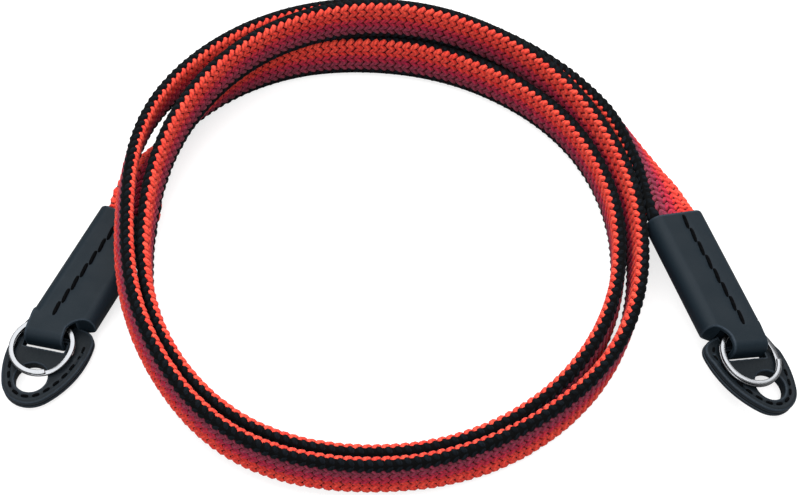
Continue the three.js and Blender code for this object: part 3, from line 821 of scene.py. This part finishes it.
def flap_outline(inset, count):
    """The flap's edge moved in by an inset: five arcs that meet without corners, as evenly spaced points from
    one side of the sleeve round the tip to the other, and its length. The side's middle lies where circles
    about the shoulder's and the tip's middles cross, each with the side's radius less its own."""
    f = FLAP
    shoulder = np.array([f["start"] + f["shoulder"], f["half"] - f["shoulder"]])
    line = np.array([f["tip"] - f["tip_radius"], 0]) - shoulder
    apart = np.hypot(*line)
    to_shoulder, to_tip = f["side_radius"] - f["shoulder"], f["side_radius"] - f["tip_radius"]
    along = (to_shoulder**2 - to_tip**2 + apart**2) / (2 * apart)
    below = math.sqrt(to_shoulder**2 - along**2)
    middle = shoulder + line / apart * along + np.array([line[1], -line[0]]) / apart * below
    leaves = math.atan2(*(shoulder - middle)[::-1])
    meets = math.atan2(*(shoulder + line - middle)[::-1])
    arcs = [(shoulder[0], -shoulder[1], f["shoulder"], -math.pi, -leaves),
            (middle[0], -middle[1], f["side_radius"], -leaves, -meets),
            (shoulder[0] + line[0], 0, f["tip_radius"], -meets, meets),
            (middle[0], middle[1], f["side_radius"], meets, leaves),
            (shoulder[0], shoulder[1], f["shoulder"], leaves, math.pi)]
    turn = np.linspace(0, 1, ARC_POINTS)
    points = np.vstack([
        np.array([x, y]) + (r - inset) * np.stack([np.cos(a + (b - a) * turn), np.sin(a + (b - a) * turn)], 1)
        for x, y, r, a, b in arcs])
    run = np.append(0, np.cumsum(np.linalg.norm(np.diff(points, axis=0), axis=1)))
    even = np.linspace(0, run[-1], count)
    return np.stack([np.interp(even, run, points[:, k]) for k in (0, 1)], 1), run[-1]


def outline_distance(x, y, points):
    """Distance from places to a closed outline, negative inside: the least distance to its straight pieces,
    with the sign from how often a line to the right crosses it."""
    a, b = points, np.roll(points, -1, 0)
    best, inside = np.full(x.shape, np.inf), np.zeros(x.shape, bool)
    for (ax, ay), (bx, by) in zip(a, b):
        dx, dy = bx - ax, by - ay
        t = np.clip(((x - ax) * dx + (y - ay) * dy) / max(dx * dx + dy * dy, 1e-12), 0, 1)
        best = np.minimum(best, np.hypot(x - ax - t * dx, y - ay - t * dy))
        if dy:
            inside ^= ((ay > y) != (by > y)) & (x < dx * (y - ay) / dy + ax)
    return np.where(inside, -best, best)


def turn_plan(points, end):
    """Plan points turned about the place where the flap turns in its sleeve, and shifted outwards."""
    angle = math.radians(end["flap_turn"])
    x, y = points[:, 0] - FLAP["turns_at"], points[:, 1]
    return np.stack([FLAP["turns_at"] + x * math.cos(angle) - y * math.sin(angle),
                     x * math.sin(angle) + y * math.cos(angle) - end["inner"] * end["flap_shift"]], 1)


print("flap edge", round(flap_outline(0, 2)[1], 1), "mm round")

# %% Flap formula
FLAP_ROUNDING = {"edge": 0.4, "hole": 0.35, "slit": 0.12, "layer": 0.1, "groove": 0.08}
CHANNEL = {"inset": 1.6, "deep": 0.16, "reach": 0.38}
GROOVE = {"radius": 0.3, "in": 0.02, "up": 0.1}  # between the layers, from the edge and from the lower layer
OUTLINE_PIECES = 160


def ease(t):
    """Smooth step from 0 to 1: three squares of t less two cubes, with t held between 0 and 1."""
    t = np.clip(t, 0, 1)
    return t * t * (3 - 2 * t)


def flap_top(x):
    """The height of the flap's upper side, which rises smoothly from the slit on."""
    return FLAP["margin"] + (FLAP["top"] - FLAP["margin"]) * ease((x - FLAP["slit"]) / FLAP["ramp"])


def flap_plans(px, py, end):
    """Plan distances, negative within: the outline, the hole, the slit, the ring's room and the part without
    a lower layer."""
    f, s = FLAP, SLEEVE
    outline = outline_distance(px, py, turn_plan(flap_outline(0, OUTLINE_PIECES)[0], end))
    hole_at = turn_plan(np.array([[f["hole"], 0]]), end)[0]
    angle = math.radians(end["flap_turn"])
    along = (px - hole_at[0]) * math.cos(angle) + (py - hole_at[1]) * math.sin(angle)
    aside = (py - hole_at[1]) * math.cos(angle) - (px - hole_at[0]) * math.sin(angle)
    hole = (np.hypot(along / f["hole_long"], aside / f["hole_wide"]) * 2 - 1) * f["hole_wide"] / 2
    across = end["inner"] * py
    u, v = tab_plan(px, across, end["tab_turn"])
    beside_tab = np.abs(v) - s["tab"] / 2 - ROOM
    slit = np.maximum(np.maximum(f["slit"] - u, u - end["slit_end"]), beside_tab)
    behind_bar = np.maximum(u - f["bar"], beside_tab)
    behind_ear = np.maximum(u - f["ear"], s["slot_inner"] - ROOM - v)
    ring_room = np.minimum(np.minimum(behind_bar, behind_ear), u - f["in_slot"])
    tube = np.maximum.reduce([np.abs(across) - s["width"] / 2, px - s["shoulder"],
                              *shoulder_cuts(px, across, end["tab_turn"])])
    one_layer = np.minimum(np.maximum(u - end["slit_end"], beside_tab), tube - ROOM)
    return [plan[:, :, None] for plan in (outline, hole, slit, ring_room, one_layer)]


def flap_field(axes, end):
    """Outline and height in common, less the hole, the slit, the ring's room, the lower layer near the sleeve
    and the groove between the layers; the stitch channel lowers the top."""
    f, rounding = FLAP, FLAP_ROUNDING
    plans = flap_plans(*np.meshgrid(axes[0], axes[1], indexing="ij"), end)
    outline, hole, slit, ring_room, one_layer = plans
    x, z = axes[0][:, None, None], axes[2][None, None, :]
    channel = CHANNEL["deep"] * np.exp(-(((outline + CHANNEL["inset"]) / CHANNEL["reach"]) ** 2))
    top = flap_top(x) - channel * (x > f["slit"])
    body = shared(outline, np.maximum(-z, z - top), rounding["edge"])
    body = shared(body, -hole, rounding["hole"])
    body = shared(body, -slit, rounding["slit"])
    body = shared(body, -ring_room, rounding["slit"])
    body = shared(body, -np.maximum(one_layer, z - f["lower"]), rounding["layer"])
    groove = GROOVE["radius"] - np.hypot(outline + GROOVE["in"], z - f["lower"] - GROOVE["up"])
    return shared(body, groove, rounding["groove"])


# %% Flaps
FLAP_CELL = 0.17
low, high = (27.6, -11.0, -0.6), (50.4, 11.0, 3.1)
axes = level_axes(low, high, FLAP_CELL)
for side, end in ENDS.items():
    leather_piece("flap", side, level_skin(flap_field(axes, end), low, FLAP_CELL), FLAP_LEATHER)

# %% [markdown]
# ## Thread
# The sleeves are sewn by hand with thick waxed thread in long slanting stitches, the flaps by machine with
# finer thread. A stitch is a short strand that comes up out of the leather, runs flat and goes down again.
# Painted dashes would look flat in slanting light, so each stitch is a round profile carried along that low
# arch, and one array holds all the stitches of a row.

# %% Stitch formula
# The thread's second colour is painted shade between its plies.
THREAD = yarn_material("black_thread", (4, 5, 6), (1, 1, 2), (9, 10, 12), plies=2.0, twist=1.4,
                       roughness=0.9, bump=0.9, sheen=0.0, specular=0.04)
THREAD_TONE = 0.3
STRAND = {"rings": 9, "sides": 8, "pressed": 0.8, "tip": 0.12}


def stitch_strands(starts, stops, stitch):
    """Strands between pairs of points: a straight run whose height is a flat-topped arch, from sink below the
    leather up to rise above it, with a round profile, a little pressed, that narrows at both ends."""
    rings, sides = STRAND["rings"], STRAND["sides"]
    t = np.linspace(0, 1, rings)
    arch = 1 - np.abs(2 * t - 1) ** 6
    narrow = np.sqrt(np.clip(1 - np.abs(2 * t - 1) ** 3, STRAND["tip"], 1))
    turn = np.linspace(0, 2 * math.pi, sides, endpoint=False)
    run = stops - starts
    way = run / np.linalg.norm(run, axis=1)[:, None]
    across = np.stack([-way[:, 1], way[:, 0], 0 * way[:, 0]], 1)
    height = arch * (stitch["rise"] + stitch["sink"]) - stitch["sink"]
    middle = starts[:, None] + t[:, None] * run[:, None] + np.array([0, 0, 1.0]) * height[:, None]
    ring = (np.cos(turn)[None, None, :, None] * across[:, None, None, :]
            + np.sin(turn)[None, None, :, None] * np.array([0, 0, STRAND["pressed"]]))
    points = middle[:, :, None, :] + stitch["radius"] * narrow[None, :, None, None] * ring
    count, each = len(starts), rings * sides
    caps = np.vstack([cap_tris(0, sides)[:, ::-1], cap_tris(each - sides, sides)])
    base = (np.arange(count) * each)[:, None, None]
    u = np.tile(np.repeat(t, sides), count)
    v = np.tile(np.tile(np.arange(sides) / sides, rings), count)
    quads = (grid_quads(rings, sides) + base).reshape(-1, 4)
    return points.reshape(-1, 3), quads, (caps + base).reshape(-1, 3), u, v


def sew(name, side, starts, stops, stitch):
    """One row of stitches as a piece on an end."""
    points, quads, tris, u, v = stitch_strands(starts, stops, stitch)
    piece = make_piece(name, lay_end(side, points), quads, tris, THREAD)
    point_values(piece, "tone_and_painted_light", np.full(len(points), THREAD_TONE))
    corner_map(piece, u, v)
    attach(piece, "strap")


# %% Sew
SLEEVE_STITCH = {"long": 4.3, "aside": 0.36, "spare": 2.0, "radius": 0.44, "rise": 0.16, "sink": 0.3}
FLAP_STITCH = {"pitch": 2.4, "shares": (0.04, 0.84), "shown_from": 31.6, "seat": 0.14,
               "radius": 0.34, "rise": 0.06, "sink": 0.3}
SEWN_POINTS = 400


def seam_points(along, aside, end):
    """Points on the sunken leather of the seam, moved aside from its line."""
    across = end["inner"] * (seam_line(along) + aside)
    return np.stack([along, across, np.full(len(along), SLEEVE["thick"] - SEAM["dip"])], 1)


def sew_sleeve(side, end):
    """Long stitches along the seam, each from one side of its line to the other."""
    stitch = SLEEVE_STITCH
    begin = np.arange(SEAM["start"], SEAM["end"] - stitch["spare"], SEAM["pitch"])
    sew("thread_sleeve_" + side, side, seam_points(begin, -stitch["aside"], end),
        seam_points(begin + stitch["long"], stitch["aside"], end), stitch)


def sew_flap(side, end):
    """Short stitches in the channel, where the flap is clear of the sleeve."""
    stitch = FLAP_STITCH
    line, length = flap_outline(CHANNEL["inset"], SEWN_POINTS)
    number = np.arange(round(length / stitch["pitch"]))
    step = (SEWN_POINTS - 1) / len(number)
    places = [(number + share) * step for share in stitch["shares"]]
    starts, stops = (
        turn_plan(np.stack([np.interp(place, np.arange(SEWN_POINTS), row) for row in line.T], 1), end)
        for place in places)
    nearest = np.minimum(starts[:, 0], stops[:, 0])
    level = flap_top(nearest) - stitch["seat"]
    shown = nearest > stitch["shown_from"]
    sew("thread_flap_" + side, side, np.column_stack([starts, level])[shown],
        np.column_stack([stops, level])[shown], stitch)


for side, end in ENDS.items():
    sew_sleeve(side, end)
    sew_flap(side, end)

# %% [markdown]
# ## The split rings
# A split ring is flat wire wound nearly twice, so that one turn lies on the other and the two ends stand
# apart at a step. The section with its rounded corners is carried along that winding. A torus would lose the
# line between the turns and the cut ends, which catch the light.

# %% Steel
steel, tree, shader = new_material("polished_steel", Metallic=1.0, Base_Color=linear(138, 140, 143))
scuff = texture(tree, "ShaderNodeTexNoise", {"Scale": 900.0, "Detail": 2.0, "Roughness": 0.5})
dullness = rescale(tree, scuff.outputs["Fac"], (0.35, 0.65), (0.2, 0.26))
feed(tree, [shader.inputs["Roughness"]], [dullness])

# %% Rings
# The wire's path and section, the ring's middle along and up, and how the wire narrows at its ends: over
# which part of a turn and to which share.
RING = {
    "radius": 6.5, "wide": 1.1, "high": 0.6, "corner": 0.2, "pitch": 0.7, "turns": 1.84, "at": 36.2,
    "height": 3.4, "steps": 190, "corner_points": 4, "end_run": 0.004, "end_share": 0.75,
}


def wire_section(wide, high, radius, per_corner):
    """Rounded rectangle as points outwards and upwards from the wire's middle."""
    turn = np.linspace(0, math.pi / 2, per_corner)
    corners = [(1, 1, 0), (-1, 1, 1), (-1, -1, 2), (1, -1, 3)]
    return np.vstack([
        np.stack([a * (wide / 2 - radius) + radius * np.cos(turn + q * math.pi / 2),
                  b * (high / 2 - radius) + radius * np.sin(turn + q * math.pi / 2)], 1)
        for a, b, q in corners])


def ring_surface(end):
    """Angle grows with the run; height steps smoothly from the lower turn to the upper one where the wire has
    gone once round; the section stands on that line, outwards and upwards, and shrinks at the very ends."""
    r = RING
    body = np.linspace(r["end_run"], r["turns"] - r["end_run"], r["steps"])
    turns = np.concatenate([[0], body, [r["turns"]]])
    turned = math.radians(end["inner"] * end["tab_turn"])
    angle = math.radians(end["ring_seam"]) + turned + 2 * math.pi * turns
    off_pivot = r["at"] - SLEEVE["tab_pivot"]
    at_x = SLEEVE["tab_pivot"] + off_pivot * math.cos(turned)
    at_y = off_pivot * math.sin(turned) - end["inner"] * SLEEVE["tab_shift"]
    height = (ease((turns - (r["turns"] - 1)) / (2 - r["turns"])) - 0.5) * r["pitch"]
    section = wire_section(r["wide"], r["high"], r["corner"], r["corner_points"])
    size = np.ones(len(turns))
    size[[0, -1]] = r["end_share"]
    out = r["radius"] + size[:, None] * section[:, 0]
    points = np.stack([at_x + out * np.cos(angle)[:, None], at_y + out * np.sin(angle)[:, None],
                       r["height"] + height[:, None] + size[:, None] * section[:, 1]], -1)
    rows, columns = points.shape[:2]
    quads = grid_quads(rows, columns)[:, ::-1]  # the section turns the other way than a stitch's profile
    caps = np.vstack([cap_tris(0, columns), cap_tris((rows - 1) * columns, columns)[:, ::-1]])
    return points.reshape(-1, 3), quads, caps


for side, end in ENDS.items():
    points, quads, tris = ring_surface(end)
    ring = make_piece("split_ring_" + side, lay_end(side, points), quads, tris, steel)
    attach(ring, "ring_" + side)
    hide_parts("ring_" + side)

# %% [markdown]
# ## Floor and light
# The strap lies on a plain pale table under a large soft light from above and behind, with a second one in
# front, so that shadows stay faint and the wire has something bright to reflect. The table glows where the
# camera sees it, so that it shows nearly white and yet throws no more light on the strap than a grey one.

# %% Floor
FLOOR = {"height": -0.4, "half_size": 3000, "grey": 0.35, "seen_grey": 0.4, "glow": 0.72}
floor_material, tree, shader = new_material(
    "pale_table", Roughness=0.9, Specular_IOR_Level=0.1, Emission_Color=(1, 1, 1, 1))
seen = add(tree, "ShaderNodeLightPath").outputs["Is Camera Ray"]
floor_colour = blend(tree, seen, (*[FLOOR["grey"]] * 3, 1), (*[FLOOR["seen_grey"]] * 3, 1))
glow = calculate(tree, "MULTIPLY", seen, FLOOR["glow"])
feed(tree, [shader.inputs["Base Color"], shader.inputs["Emission Strength"]], [floor_colour, glow])
corners = np.array([[-1, -1, 0], [1, -1, 0], [1, 1, 0], [-1, 1, 0]]) * FLOOR["half_size"]
floor = make_piece("table", corners + [0, 0, FLOOR["height"]], [[0, 1, 2, 3]], material=floor_material)

# %% Light
LIGHTS = {  # place in metres, size and watts
    "top_light": ((0.1, 0.45, 0.95), 1.7, 27),
    "front_light": ((-0.25, -0.6, 0.8), 0.6, 5),
}
SURROUNDINGS = 0.32  # strength of the plain white world

for name, (place, size, watts) in LIGHTS.items():
    data = bpy.data.lights.new(name, "AREA")
    data.size, data.energy = size, watts
    lamp = bpy.data.objects.new(name, data)
    lamp.location = place
    lamp.rotation_euler = (-Vector(place)).to_track_quat("-Z", "Y").to_euler()  # towards the coil
    bpy.context.scene.collection.objects.link(lamp)
world = bpy.data.worlds.new("studio")
world.use_nodes = True
background = world.node_tree.nodes["Background"]
background.inputs["Color"].default_value = (1, 1, 1, 1)
background.inputs["Strength"].default_value = SURROUNDINGS
bpy.context.scene.world = world
bpy.context.scene.view_settings.view_transform = "Standard"
print("lights:", list(LIGHTS))
